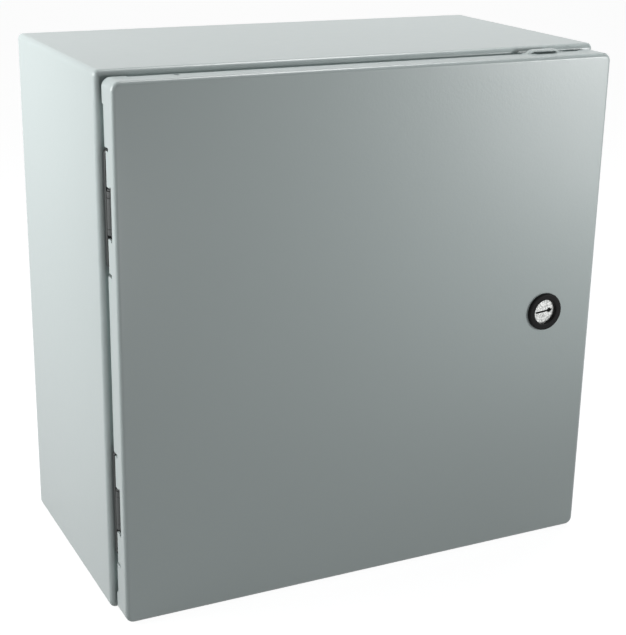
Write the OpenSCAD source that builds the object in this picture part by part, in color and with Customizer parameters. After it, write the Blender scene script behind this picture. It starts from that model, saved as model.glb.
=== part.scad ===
// Wall-mounted control panel enclosure: folded steel cabinet, hinged door, quarter-turn lock.
// Each piece is drawn lying on its back: x to the right, y up the wall, z out from the wall.
// stand() then turns it upright: +Z up, the wall at y = 0, the door towards -Y.

/* [Cabinet] */
// Outside width of the cabinet
cabinet_w = 380; // [360:1:600]
// Outside height of the cabinet
cabinet_h = 380; // [360:1:760]
// Depth from the wall to the front rim
cabinet_d = 184; // [150:1:300]
// Thickness of the steel sheet
sheet_t = 1.5; // [1.2:0.1:1.8]
// Outside radius of the front bend and of the four long edges
edge_r = 4; // [3.5:0.5:5]
// Outside radius of the rear edges
rear_r = 2.5; // [2.2:0.1:3]
// From the cabinet's side to the outer face of the sealing lip
rim_w = 24; // [23:0.5:30]
// Radius of the bend between the rim and the sealing lip
lip_bend_r = 3; // [2:0.5:4]
// Outer corner radius of the sealing lip
lip_corner_r = 8; // [6:1:14]
// From the cabinet's sides to the wall fixing holes
wall_hole_inset = 30; // [24:1:34]
// Diameter of the wall fixing holes
wall_hole_d = 8.5; // [6.5:0.5:9]

/* [Door] */
// Gap between the rim and the door's rear edge
door_gap = 6; // [5.5:0.5:9]
// Depth of the door from its rear edge to its front face
door_flange = 20; // [19:0.5:26]
// From the cabinet's sides to the door's sides
door_side_inset = 2.75; // [1.5:0.25:3]
// From the cabinet's top to the door's top
door_top_inset = 3.5; // [2.5:0.25:4.5]
// From the cabinet's base to the door's lower edge
door_bottom_inset = 1; // [0.75:0.25:3]
// Corner radius of the door's outline
door_corner_r = 6; // [5:0.5:12]
// Outside radius of the door's bends
door_bend_r = 3; // [2.5:0.5:3.5]
// Width of the stiffening return at the rear of the door's flanges
return_w = 10; // [7:0.5:11]
// Depth by which the flange is cut back where it has no return
return_cut = 4.5; // [4:0.25:5.5]
// Length of plain flange beside each door corner
corner_run = 10; // [6:1:20]
// Width of the foamed gasket
gasket_w = 10; // [8:0.5:11]
// Height of the foamed gasket
gasket_h = 6; // [5:0.25:7]
// Rise of the gasket's rounded top
gasket_crown = 2; // [1:0.25:2.5]
// Distance between the gasket and the sealing lip
gasket_clear = 0.3; // [0.2:0.1:0.6]

/* [Top flange] */
// From the door's sides to the hanging hole and the hanging slot
hanging_inset = 47.5; // [44:0.5:70]
// From the door's rear edge to the hanging hole's centre
hanging_depth = 6; // [5.5:0.5:9]
// Diameter of the hanging hole
hanging_hole_d = 4; // [3:0.5:5]
// Length of the hanging slot
hanging_slot_l = 17.5; // [14:0.5:20]
// Width of the hanging slot
hanging_slot_w = 4; // [3:0.25:5]
// Length of the raised bridge behind the slot
bridge_l = 28; // [26:1:36]
// Height of the raised bridge above the flange
bridge_rise = 2.5; // [1.5:0.25:2.75]

/* [Hinges] */
// From the door's top and lower edges to the hinge centres, if both were set evenly
hinge_inset = 83.5; // [65:0.5:100]
// Distance by which both hinges sit lower than that
hinge_drop = 1.8; // [0:0.1:4]
// From the door's left face to the hinge axis
hinge_in = 3.5; // [3.25:0.25:4]
// From the door's rear edge forward to the hinge axis
hinge_fore = 6; // [5.5:0.25:6.5]
// Length of the hinge zone that has no return
hinge_zone = 85; // [84:1:100]
// Length of the deep hinge notch
notch_l = 34; // [33:0.5:40]
// Depth of the deep hinge notch
notch_d = 12.5; // [12:0.25:13.5]
// Width of the relief slits at the ends of the hinge zone
relief_w = 2.5; // [1.5:0.25:4]
// Depth of the relief slits
relief_d = 9.5; // [7:0.5:11]
// Diameter of the hinge pin
pin_d = 5; // [4:0.25:5.5]
// Running clearance round the hinge pin, on the radius
pin_clear = 0.05; // [0.02:0.01:0.08]
// Outside diameter of the hinge knuckles
knuckle_d = 8; // [7.5:0.25:8.5]
// Length of the knuckle on the cabinet side
knuckle_l = 20; // [14:0.5:20.5]
// Length of the leaf screwed to the rim
leaf_l = 80; // [70:1:82]
// Thickness of the leaf screwed to the rim
leaf_t = 4; // [3:0.25:4.5]
// Spacing of the leaf's two screws
leaf_screw_pitch = 56; // [48:1:62]
// Diameter of the leaf screws
leaf_screw_d = 5; // [4:0.5:6]
// Thickness of the bracket's ears
ear_t = 4; // [3:0.25:4.25]
// Play between knuckle and ears
ear_play = 0.3; // [0.2:0.05:0.5]
// Length of the bracket on the door skin
bracket_l = 60; // [50:1:70]
// Thickness of the bracket on the door skin
bracket_t = 2.5; // [2:0.25:3]

/* [Lock] */
// From the door's right side to the lock's axis
lock_inset = 43; // [42.5:0.25:60]
// Height of the lock's axis above the door's centre
lock_rise = -2.1; // [-60:0.1:60]
// Outside diameter of the lock's ring
lock_ring_d = 28.5; // [27.5:0.25:31]
// Height of the ring in front of the door
lock_ring_h = 2.6; // [2:0.1:4]
// Diameter of the lock's barrel
lock_barrel_d = 22; // [21:0.5:22.5]
// Width across the barrel's two flats
lock_flats = 20; // [19:0.25:20.5]
// Diameter of the spindle's slotted head
spindle_head_d = 18; // [17:0.1:18.6]
// Depth of the spindle's head behind the ring's front
spindle_sunk = 2.6; // [0.6:0.1:3]
// Thickness of the spindle's head
spindle_head_h = 5; // [4.5:0.25:7]
// Diameter of the spindle's shank
spindle_d = 12; // [11.75:0.25:13]
// Running clearance round the spindle, on the radius
spindle_clear = 0.05; // [0.02:0.01:0.1]
// Length of the screwdriver slot
slot_l = 14; // [11:0.25:15]
// Width of the screwdriver slot
slot_w = 1.4; // [1:0.1:3]
// Depth of the screwdriver slot
slot_d = 2.5; // [1.5:0.1:3.5]
// Tilt of the screwdriver slot at rest
slot_tilt = 6; // [-15:1:15]
// Diameter of the key pocket in the slot
key_pocket_d = 3.6; // [3:0.1:4.5]
// From the lock's axis to the key pocket
key_pocket_x = 4.5; // [3:0.25:5]
// Width of the square that drives the cam
square_w = 8; // [7:0.25:8.25]
// Length of the cam from the lock's axis to its tip
cam_reach = 34; // [32:0.5:38]
// Width of the cam
cam_w = 18; // [16:0.5:22]
// Thickness of the cam
cam_t = 3; // [2:0.25:4]
// Distance between the rim's rear face and the cam
cam_clear = 0.6; // [0.4:0.1:1.5]
// Width across flats of the lock's nut
lock_nut_af = 26; // [25:0.5:27]
// Thickness of the lock's nut
lock_nut_t = 6; // [4:0.5:8]
// Diameter of the cam's screw
cam_screw_d = 6; // [5:0.5:6]

/* [Mounting panel] */
// From the cabinet's sides to the panel's edges
panel_inset = 30; // [28:1:50]
// Thickness of the panel
panel_t = 2; // [1.5:0.25:3]
// Height of the panel's rear face above the rear wall
panel_standoff = 20; // [12:1:40]
// Size of the cropped corners
panel_crop = 28; // [24:1:40]
// From the panel's left and right edges to its studs
panel_stud_in_x = 15; // [12:1:30]
// From the panel's top and lower edges to its studs
panel_stud_in_y = 42; // [40:1:80]
// Diameter of the panel studs
panel_stud_d = 8; // [6:0.5:8.5]

/* [Cable entry] */
// Length of the opening in the base
gland_w = 220; // [150:1:230]
// Width of the opening in the base
gland_d = 80; // [50:1:90]
// From the front rim back to the opening's centre
gland_z = 84; // [74:1:89]
// Width of the seat round the opening
gland_seat = 18; // [16:0.5:22]
// Thickness of the gland plate
gland_t = 2; // [1.5:0.25:3]
// Thickness of the gland plate's gasket
gland_gasket_t = 2; // [1:0.25:3]
// Diameter of the gland plate's studs
gland_stud_d = 5; // [4:0.5:6]

/* [Earthing] */
// Diameter of the earth studs
earth_d = 6; // [5:0.5:8]
// Length of the earth studs
earth_l = 17; // [16:0.5:22]
// From the gland plate's right edge to the cabinet's earth stud
earth_inset = 18; // [16:1:32]
// From the wall to the cabinet's earth stud
earth_z = 60; // [50:1:120]
// From the door's left and lower edges to its earth stud
door_earth_inset = 36; // [35:1:80]

/* [Hidden] */
$fn = 64;
eps = 1;              // overshoot of cutting shapes
fit = 0.05;           // clearance between a stud and its nut, on the radius
hole_play = 0.25;     // clearance of a screw or stud in a plate, on the radius
seat_play = 0.25;     // clearance beside a piece laid against a bend

door_w = cabinet_w - 2 * door_side_inset;
door_h = cabinet_h - door_top_inset - door_bottom_inset;
door_y = (door_bottom_inset - door_top_inset) / 2;
door_back_z = cabinet_d + door_gap;
door_front_z = door_back_z + door_flange;
door_inner_z = door_front_z - sheet_t;
door_cut_z = door_back_z + return_cut;
bridge_foot = 3;      // plain flange at each end of the bridge
bridge_ramp = 4;      // length over which the bridge rises

rim_back_z = cabinet_d - sheet_t;
lip_tip_z = door_inner_z - gasket_h - gasket_clear;
lip_outset = rim_w - lip_bend_r;
gasket_inset = rim_w + sheet_t / 2 - gasket_w / 2;
gasket_corner_r = lip_corner_r + (gasket_w - sheet_t) / 2;

hinge_x = -door_w / 2 + hinge_in;
hinge_z = door_back_z + hinge_fore;
hinge_off = door_h / 2 - hinge_inset;
hinge_y = door_y - hinge_drop;
leaf_x0 = -cabinet_w / 2 + edge_r + seat_play;
leaf_x1 = -cabinet_w / 2 + lip_outset - seat_play;
leaf_top_z = cabinet_d + leaf_t;
leaf_x = (leaf_x0 + leaf_x1) / 2;
bracket_x0 = -door_w / 2 + door_bend_r + seat_play;
bracket_x1 = -cabinet_w / 2 + gasket_inset - eps;
bracket_z = door_inner_z - bracket_t;
ear_y = knuckle_l / 2 + ear_play;
pin_head_t = 1.2;
arm_clear = 1.5;      // from the hinge axis to the arm's left face
arm_share = 0.85;     // part of the knuckle's radius that the arms and ears run into
arm_foot_w = 10.5;
ear_foot_w = 10;
pin_end_y = ear_y + ear_t + ear_play;

lock_x = door_w / 2 - lock_inset;
lock_y = door_y + lock_rise;
ring_front_z = door_front_z + lock_ring_h;
head_front_z = ring_front_z - spindle_sunk;
head_back_z = head_front_z - spindle_head_h;
cam_front_z = rim_back_z - cam_clear;
cam_back_z = cam_front_z - cam_t;
barrel_back_z = cam_front_z + 0.5;
lock_seal_t = 1;
lock_seal_w = 2;
cam_washer_t = 1.6;
cam_washer_d = 16;
cam_screw_grip = 12;

panel_w = cabinet_w - 2 * panel_inset;
panel_h = cabinet_h - 2 * panel_inset;
panel_z = sheet_t + panel_standoff;
panel_front_z = panel_z + panel_t;
panel_washer_t = 1.6;
panel_nut_t = 0.8 * panel_stud_d;
panel_stud_end_z = panel_front_z + panel_washer_t + panel_nut_t + 2.5;
panel_spacer_d = panel_stud_d + 6;

base_y = -cabinet_h / 2 + sheet_t;
gland_plate_y = base_y + gland_gasket_t;
gland_top_y = gland_plate_y + gland_t;
gland_washer_t = 1;
gland_nut_t = 0.8 * gland_stud_d;
gland_stud_end_y = gland_top_y + gland_washer_t + gland_nut_t + 2;
gland_corner_r = 6;
gland_mid_z = cabinet_d - gland_z;

earth_washer_t = 1.6;
earth_nut_t = 0.8 * earth_d;

paint = [0.78, 0.82, 0.81];
zinc = [0.72, 0.73, 0.74];
black = [0.08, 0.08, 0.09];
foam = [0.16, 0.16, 0.17];

// Turns a piece drawn lying on its back upright
module stand() {
    rotate([90, 0, 0]) children();
}

// Lays a flat outline, drawn in x and depth, on the cabinet's base at height y, with thickness t
module on_base(y, t) {
    translate([0, y, 0]) rotate([-90, 0, 0]) linear_extrude(t) mirror([0, 1]) children();
}

// Extrudes an outline drawn in x and z along y, centred on height y
module along_y(y, length) {
    translate([0, y, 0]) rotate([90, 0, 0]) linear_extrude(length, center = true) children();
}

// Rectangle with true round corners, centred
module round_rect(w, h, r) {
    square([w - 2 * r, h], center = true);
    square([w, h - 2 * r], center = true);
    for (sx = [-1, 1], sy = [-1, 1])
        translate([sx * (w / 2 - r), sy * (h / 2 - r)]) circle(r);
}

// Quarter of a bent sheet's section about its centre, starting at an angle
module bend(outer_r, from) {
    rotate(from) intersection() {
        difference() {
            circle(outer_r);
            circle(outer_r - sheet_t);
        }
        square(outer_r + eps);
    }
}

// A straight fold: the section runs along one side, x inwards from the side at distance half
module fold_run(half, from, to) {
    translate([half, (from + to) / 2, 0]) rotate([90, 0, 0])
        linear_extrude(to - from, center = true) mirror([1, 0]) children();
}

// The section turned round a corner of radius r, x inwards from the outside
module fold_corner(r) {
    rotate_extrude(angle = 90) intersection() {
        translate([r, 0]) mirror([1, 0]) children();
        square([r + eps, door_front_z + eps]);
    }
}

// The section swept round a rectangle with round corners, x inwards from its outside
module fold_round(w, h, r) {
    for (k = [0:3]) {
        odd = k % 2 == 1;
        half = (odd ? h : w) / 2;
        reach = (odd ? w : h) / 2 - r;
        rotate(90 * k) {
            fold_run(half, -reach, reach) children();
            translate([half - r, reach, 0]) fold_corner(r) children();
        }
    }
}

// Hexagon by its width across flats
module hexagon(af) {
    circle(d = af / cos(30), $fn = 6);
}

// Tube along z
module tube(outer_d, inner_d, length) {
    difference() {
        cylinder(d = outer_d, h = length);
        translate([0, 0, -eps]) cylinder(d = inner_d, h = length + 2 * eps);
    }
}

// Hexagon nut along z
module nut(af, inner_d, length) {
    difference() {
        linear_extrude(length) hexagon(af);
        translate([0, 0, -eps]) cylinder(d = inner_d, h = length + 2 * eps);
    }
}

// Turns what is drawn along z to point up from the cabinet's base
module up_from_base(x, y, z) {
    translate([x, y, z]) rotate([-90, 0, 0]) children();
}

// Places of the panel's four studs
module at_panel_studs(z) {
    x = panel_w / 2 - panel_stud_in_x;
    y = panel_h / 2 - panel_stud_in_y;
    for (sx = [-1, 1], sy = [-1, 1]) translate([sx * x, sy * y, z]) children();
}

// Places of the gland plate's six studs, pointing up from the base
module at_gland_studs(y) {
    x = (gland_w + gland_seat) / 2;
    z = (gland_d + gland_seat) / 2;
    for (ix = [-1:1], sz = [-1, 1]) up_from_base(ix * x, y, gland_mid_z + sz * z) children();
}

// Places of the four wall fixing holes
module at_wall_holes() {
    for (sx = [-1, 1], sy = [-1, 1])
        translate([sx * (cabinet_w / 2 - wall_hole_inset), sy * (cabinet_h / 2 - wall_hole_inset), 0])
            children();
}

// Places of the screws of both hinge leaves
module at_leaf_screws() {
    for (sh = [-1, 1], ss = [-1, 1])
        translate([leaf_x, hinge_y + sh * hinge_off + ss * leaf_screw_pitch / 2, 0]) children();
}

// Section of the cabinet's wall: stub of the rear wall, rear bend, side, front bend
module wall_section() {
    translate([rear_r, 0]) square([edge_r - rear_r, sheet_t]);
    translate([rear_r, rear_r]) bend(rear_r, 180);
    translate([0, rear_r]) square([sheet_t, cabinet_d - rear_r - edge_r]);
    translate([edge_r, cabinet_d - edge_r]) bend(edge_r, 90);
}

// Section of the sealing lip: bend out of the rim, then straight to its tip
module lip_section() {
    bend_z = cabinet_d + lip_bend_r;
    translate([0, bend_z]) bend(lip_bend_r + sheet_t, 270);
    translate([lip_bend_r, bend_z]) square([sheet_t, lip_tip_z - bend_z]);
}

module cabinet_shell() {
    flat_w = cabinet_w - 2 * edge_r;
    flat_h = cabinet_h - 2 * edge_r;
    mouth_w = cabinet_w - 2 * lip_outset;
    mouth_h = cabinet_h - 2 * lip_outset;
    mouth_r = lip_corner_r + lip_bend_r;
    color(paint) difference() {
        union() {
            fold_round(cabinet_w, cabinet_h, edge_r) wall_section();
            translate([0, 0, sheet_t / 2]) cube([flat_w, flat_h, sheet_t], center = true);
            translate([0, 0, rim_back_z]) linear_extrude(sheet_t) difference() {
                square([flat_w, flat_h], center = true);
                round_rect(mouth_w, mouth_h, mouth_r);
            }
            fold_round(mouth_w, mouth_h, mouth_r) lip_section();
        }
        at_wall_holes() translate([0, 0, -eps]) cylinder(d = wall_hole_d, h = sheet_t + 2 * eps);
        at_leaf_screws() translate([0, 0, rim_back_z - eps])
            cylinder(d = leaf_screw_d + 2 * hole_play, h = sheet_t + 2 * eps);
        on_base(-cabinet_h / 2 - eps, sheet_t + 2 * eps)
            translate([0, gland_mid_z]) round_rect(gland_w, gland_d, gland_corner_r);
    }
}

module mounting_panel() {
    color(zinc) difference() {
        translate([0, 0, panel_z]) linear_extrude(panel_t) difference() {
            square([panel_w, panel_h], center = true);
            for (sx = [-1, 1], sy = [-1, 1]) translate([sx * panel_w / 2, sy * panel_h / 2])
                rotate(45) square(panel_crop * sqrt(2), center = true);
        }
        at_panel_studs(panel_z - eps) cylinder(d = panel_stud_d + 2 * hole_play, h = panel_t + 2 * eps);
    }
}

module panel_studs() {
    color(zinc) at_panel_studs(sheet_t) cylinder(d = panel_stud_d, h = panel_stud_end_z - sheet_t);
}

module panel_spacers() {
    color(zinc) at_panel_studs(sheet_t) tube(panel_spacer_d, panel_stud_d + 2 * hole_play, panel_standoff);
}

module panel_washers() {
    color(zinc) at_panel_studs(panel_front_z)
        tube(2 * panel_stud_d, panel_stud_d + 2 * hole_play, panel_washer_t);
}

module panel_nuts() {
    color(zinc) at_panel_studs(panel_front_z + panel_washer_t)
        nut(1.625 * panel_stud_d, panel_stud_d + 2 * fit, panel_nut_t);
}

// Outline of the gland plate and its gasket
module gland_outline() {
    translate([0, gland_mid_z])
        round_rect(gland_w + 2 * gland_seat, gland_d + 2 * gland_seat, gland_corner_r);
}

module gland_plate() {
    color(paint) difference() {
        on_base(gland_plate_y, gland_t) gland_outline();
        at_gland_studs(gland_plate_y - eps)
            cylinder(d = gland_stud_d + 2 * hole_play, h = gland_t + 2 * eps);
    }
}

module gland_gasket() {
    color(foam) difference() {
        on_base(base_y, gland_gasket_t) difference() {
            gland_outline();
            translate([0, gland_mid_z]) round_rect(gland_w, gland_d, gland_corner_r);
        }
        at_gland_studs(base_y - eps)
            cylinder(d = gland_stud_d + 2 * hole_play, h = gland_gasket_t + 2 * eps);
    }
}

module gland_studs() {
    color(zinc) at_gland_studs(base_y) cylinder(d = gland_stud_d, h = gland_stud_end_y - base_y);
}

module gland_washers() {
    color(zinc) at_gland_studs(gland_top_y)
        tube(2 * gland_stud_d, gland_stud_d + 2 * hole_play, gland_washer_t);
}

module gland_nuts() {
    color(zinc) at_gland_studs(gland_top_y + gland_washer_t)
        nut(1.6 * gland_stud_d, gland_stud_d + 2 * fit, gland_nut_t);
}

// Place of the cabinet's earth stud, at a height above the base
module at_earth(rise) {
    up_from_base(gland_w / 2 + gland_seat + earth_inset, base_y + rise, earth_z) children();
}

module earth_stud() {
    color(zinc) at_earth(0) cylinder(d = earth_d, h = earth_l);
}

module earth_washer() {
    color(zinc) at_earth(0) tube(2 * earth_d, earth_d + 2 * hole_play, earth_washer_t);
}

module earth_nut() {
    color(zinc) at_earth(earth_washer_t) nut(1.667 * earth_d, earth_d + 2 * fit, earth_nut_t);
}

// Leaf on the rim: base plate, arm and middle knuckle round the pin
module hinge_leaf(y) {
    arm_left = hinge_x - arm_clear;
    arm_right = hinge_x + arm_share * knuckle_d / 2;
    arm_foot = arm_left + arm_foot_w;
    arm_root_z = leaf_top_z - leaf_t / 2;
    color(zinc) difference() {
        union() {
            translate([leaf_x, y, cabinet_d]) linear_extrude(leaf_t)
                round_rect(leaf_x1 - leaf_x0, leaf_l, 4);
            along_y(y, knuckle_l) {
                translate([hinge_x, hinge_z]) circle(d = knuckle_d);
                polygon([
                    [arm_left, arm_root_z], [arm_foot, arm_root_z], [arm_foot, leaf_top_z],
                    [arm_right, hinge_z], [arm_left, hinge_z]
                ]);
            }
        }
        along_y(y, knuckle_l + 2 * eps) translate([hinge_x, hinge_z]) circle(d = pin_d + 2 * pin_clear);
        for (s = [-1, 1]) translate([leaf_x, y + s * leaf_screw_pitch / 2, cabinet_d - eps])
            cylinder(d = leaf_screw_d + 2 * fit, h = leaf_t + 2 * eps);
    }
}

// Pin with a flat head above the upper ear
module hinge_pin(y) {
    color(zinc) translate([hinge_x, y, hinge_z]) rotate([-90, 0, 0]) {
        translate([0, 0, -pin_end_y]) cylinder(d = pin_d, h = 2 * pin_end_y);
        translate([0, 0, pin_end_y]) cylinder(d = pin_d + 2, h = pin_head_t);
    }
}

// Screws through the rim into both leaves, heads inside the cabinet
module hinge_screws() {
    head_t = 0.7 * leaf_screw_d;
    color(zinc) at_leaf_screws() {
        translate([0, 0, rim_back_z - head_t]) linear_extrude(head_t) hexagon(1.6 * leaf_screw_d);
        translate([0, 0, rim_back_z]) cylinder(d = leaf_screw_d, h = leaf_top_z - rim_back_z - hole_play);
    }
}

// Section of the door's edge: front stub, front bend, flange
module door_section() {
    bend_z = door_front_z - door_bend_r;
    translate([door_bend_r, door_inner_z]) square([door_corner_r - door_bend_r, sheet_t]);
    translate([door_bend_r, bend_z]) bend(door_bend_r, 90);
    translate([0, door_cut_z]) square([sheet_t, bend_z - door_cut_z]);
}

// Section of the return at the flange's rear edge
module return_section() {
    bend_z = door_back_z + door_bend_r;
    translate([0, bend_z]) square([sheet_t, door_cut_z - bend_z]);
    translate([door_bend_r, bend_z]) bend(door_bend_r, 180);
    translate([door_bend_r, door_back_z]) square([return_w - door_bend_r, sheet_t]);
}

// Section of the plain flange where the return stops
module plain_section() {
    translate([0, door_back_z]) square([sheet_t, return_cut]);
}

// Stretches of the flange's rear edge along one side: returns between the stops, plain at the corners
module rear_edge(half, reach, stops) {
    for (i = [0:2:len(stops) - 1]) fold_run(half, stops[i], stops[i + 1]) return_section();
    for (s = [-1, 1]) {
        near = reach - corner_run;
        fold_run(half, s > 0 ? near : -reach, s > 0 ? reach : -near) plain_section();
    }
}

// Raised bridge behind the hanging slot, with a plain foot at each end
module bridge() {
    half = bridge_l / 2;
    strip = hanging_depth - hanging_slot_w / 2;
    top = door_h / 2;
    low = top - sheet_t;
    translate([door_w / 2 - hanging_inset, 0, door_back_z]) {
        linear_extrude(strip) polygon([
            [-half - bridge_foot, low], [-half, low], [-half + bridge_ramp, low + bridge_rise],
            [half - bridge_ramp, low + bridge_rise], [half, low], [half + bridge_foot, low],
            [half + bridge_foot, top], [half, top], [half - bridge_ramp, top + bridge_rise],
            [-half + bridge_ramp, top + bridge_rise], [-half, top], [-half - bridge_foot, top]
        ]);
        for (s = [-1, 1])
            translate([s * (half + bridge_foot / 2), top - sheet_t / 2, (strip + return_cut) / 2])
                cube([bridge_foot, sheet_t, return_cut - strip], center = true);
    }
}

// Cut-outs of one hinge in the left flange, centred on height y
module hinge_cuts(y) {
    cut_x = -door_w / 2 - eps;
    cut_w = sheet_t + 2 * eps;
    nick_r = 1.2;
    translate([cut_x, y - notch_l / 2, door_back_z - eps]) cube([cut_w, notch_l, notch_d + eps]);
    for (s = [-1, 1]) {
        translate([cut_x, y + s * (hinge_zone - relief_w) / 2 - relief_w / 2, door_back_z - eps])
            cube([cut_w, relief_w, relief_d + eps]);
        translate([cut_x, y + s * notch_l / 2, door_back_z + notch_d - nick_r])
            rotate([0, 90, 0]) cylinder(r = nick_r, h = cut_w);
    }
}

module door_panel() {
    reach_x = door_w / 2 - door_corner_r;
    reach_y = door_h / 2 - door_corner_r;
    end_x = reach_x - corner_run;
    end_y = reach_y - corner_run;
    zone_in = hinge_off - hinge_zone / 2;
    zone_out = hinge_off + hinge_zone / 2;
    bridge_x = door_w / 2 - hanging_inset;
    bridge_end = bridge_l / 2 + bridge_foot;
    color(paint) translate([0, door_y, 0]) difference() {
        union() {
            fold_round(door_w, door_h, door_corner_r) door_section();
            translate([0, 0, door_inner_z + sheet_t / 2])
                cube([2 * reach_x, 2 * reach_y, sheet_t], center = true);
            rear_edge(door_w / 2, reach_y, [-end_y, end_y]);
            rotate(90) rear_edge(door_h / 2, reach_x,
                [-end_x, -bridge_x - bridge_end, -bridge_x + bridge_end, end_x]);
            rotate(180) rear_edge(door_w / 2, reach_y,
                [-end_y, hinge_drop - zone_out, hinge_drop - zone_in,
                    hinge_drop + zone_in, hinge_drop + zone_out, end_y]);
            rotate(270) rear_edge(door_h / 2, reach_x, [-end_x, end_x]);
            for (k = [0:3]) {
                odd = k % 2 == 1;
                rotate(90 * k) translate([odd ? reach_y : reach_x, odd ? reach_x : reach_y, 0])
                    fold_corner(door_corner_r) plain_section();
            }
            bridge();
        }
        for (s = [-1, 1]) hinge_cuts(s * hinge_off - hinge_drop);
        translate([-door_w / 2 + hanging_inset, door_h / 2 + eps, door_back_z + hanging_depth])
            rotate([90, 0, 0]) cylinder(d = hanging_hole_d, h = sheet_t + 2 * eps);
        translate([bridge_x, door_h / 2, door_back_z + hanging_depth])
            cube([hanging_slot_l, 2 * sheet_t + eps, hanging_slot_w], center = true);
        translate([lock_x, lock_rise, door_inner_z - eps]) linear_extrude(sheet_t + 2 * eps)
            barrel_outline(hole_play);
    }
}

// The gasket's section: flat on the door, with a rounded top towards the lip
module gasket_section() {
    round_r = (pow(gasket_w / 2, 2) + pow(gasket_crown, 2)) / (2 * gasket_crown);
    translate([0, door_inner_z]) mirror([0, 1]) intersection() {
        square([gasket_w, gasket_h]);
        translate([gasket_w / 2, gasket_h - round_r]) circle(round_r);
    }
}

module door_gasket() {
    color(foam) fold_round(cabinet_w - 2 * gasket_inset, cabinet_h - 2 * gasket_inset, gasket_corner_r)
        gasket_section();
}

// Bracket inside the door: plate on the skin and two ears round the pin
module hinge_bracket(y) {
    ear_right = hinge_x + arm_share * knuckle_d / 2;
    ear_foot = bracket_x0 + ear_foot_w;
    ear_root_z = door_inner_z - bracket_t / 2;
    color(zinc) {
        difference() {
            union() {
                translate([(bracket_x0 + bracket_x1) / 2, y, bracket_z + bracket_t / 2])
                    cube([bracket_x1 - bracket_x0, bracket_l, bracket_t], center = true);
                for (s = [-1, 1]) along_y(y + s * (ear_y + ear_t / 2), ear_t) {
                    translate([hinge_x, hinge_z]) circle(d = knuckle_d);
                    polygon([
                        [bracket_x0, ear_root_z], [ear_foot, ear_root_z], [ear_foot, bracket_z],
                        [ear_right, hinge_z], [bracket_x0, hinge_z]
                    ]);
                }
            }
            along_y(y, 2 * pin_end_y) translate([hinge_x, hinge_z]) circle(d = pin_d + 2 * pin_clear);
        }
    }
}

// Outline of the lock's barrel with its two flats, grown by a clearance
module barrel_outline(grow) {
    intersection() {
        circle(d = lock_barrel_d + 2 * grow);
        square([lock_flats + 2 * grow, lock_barrel_d + 4], center = true);
    }
}

// Moves to the lock's axis
module at_lock(z) {
    translate([lock_x, lock_y, z]) children();
}

module lock_housing() {
    ring_r = lock_ring_d / 2;
    round_r = 1.4;
    bevel = 0.8;
    recess_r = spindle_head_d / 2 + 2 * spindle_clear;
    seal_out = lock_barrel_d / 2 + hole_play + lock_seal_w;
    color(black) at_lock(0) difference() {
        union() {
            rotate_extrude() {
                translate([0, door_front_z]) square([ring_r, lock_ring_h - round_r]);
                translate([0, ring_front_z - round_r]) square([ring_r - round_r, round_r]);
                translate([ring_r - round_r, ring_front_z - round_r]) intersection() {
                    circle(round_r);
                    square(round_r + eps);
                }
            }
            translate([0, 0, barrel_back_z]) linear_extrude(door_front_z - barrel_back_z) barrel_outline(0);
        }
        translate([0, 0, head_back_z]) cylinder(r = recess_r, h = spindle_head_h + spindle_sunk + eps);
        translate([0, 0, ring_front_z - bevel]) cylinder(r1 = recess_r, r2 = recess_r + bevel, h = bevel);
        translate([0, 0, barrel_back_z - eps])
            cylinder(d = spindle_d + 2 * spindle_clear, h = head_back_z - barrel_back_z + 2 * eps);
        translate([0, 0, door_front_z])
            tube(2 * seal_out, 2 * (seal_out - lock_seal_w), lock_seal_t);
    }
}

module lock_seal() {
    seal_out = lock_barrel_d / 2 + hole_play + lock_seal_w;
    color(foam) at_lock(door_front_z) tube(2 * seal_out, 2 * (seal_out - lock_seal_w), lock_seal_t);
}

module lock_nut() {
    color(zinc) at_lock(door_inner_z - lock_nut_t) nut(lock_nut_af, lock_barrel_d + 2 * fit, lock_nut_t);
}

// Place of the door's earth stud, at a distance behind the door's skin
module at_door_earth(behind) {
    translate([-door_w / 2 + door_earth_inset, door_y - door_h / 2 + door_earth_inset,
        door_inner_z - behind]) rotate([180, 0, 0]) children();
}

module door_earth_stud() {
    color(zinc) at_door_earth(0) cylinder(d = earth_d, h = earth_l);
}

module door_earth_washer() {
    color(zinc) at_door_earth(0) tube(2 * earth_d, earth_d + 2 * hole_play, earth_washer_t);
}

module door_earth_nut() {
    color(zinc) at_door_earth(earth_washer_t) nut(1.667 * earth_d, earth_d + 2 * fit, earth_nut_t);
}

// Slotted head, round shank, square end with a tapped hole for the cam's screw
module lock_spindle() {
    color(zinc) at_lock(0) difference() {
        union() {
            translate([0, 0, head_back_z]) cylinder(d = spindle_head_d, h = spindle_head_h);
            translate([0, 0, cam_front_z]) cylinder(d = spindle_d, h = head_back_z - cam_front_z);
            translate([0, 0, cam_front_z - cam_t / 2]) cube([square_w, square_w, cam_t], center = true);
        }
        rotate(slot_tilt) {
            translate([-slot_l / 2, -slot_w / 2, head_front_z - slot_d])
                cube([slot_l, slot_w, slot_d + eps]);
            translate([key_pocket_x, 0, head_front_z - slot_d]) cylinder(d = key_pocket_d, h = slot_d + eps);
        }
        translate([0, 0, cam_back_z - eps])
            cylinder(d = cam_screw_d + 2 * fit, h = cam_screw_grip + eps);
    }
}

// Tongue with a round boss and a square hole, pointing down when released
module lock_cam() {
    tip_r = 5;
    color(zinc) at_lock(cam_back_z) linear_extrude(cam_t) difference() {
        union() {
            circle(d = cam_w);
            translate([-cam_w / 2, -cam_reach + tip_r]) square([cam_w, cam_reach - tip_r]);
            translate([-cam_w / 2 + tip_r, -cam_reach]) square([cam_w - 2 * tip_r, tip_r]);
            for (s = [-1, 1]) translate([s * (cam_w / 2 - tip_r), -cam_reach + tip_r]) circle(tip_r);
        }
        square(square_w + 2 * fit, center = true);
    }
}

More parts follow.
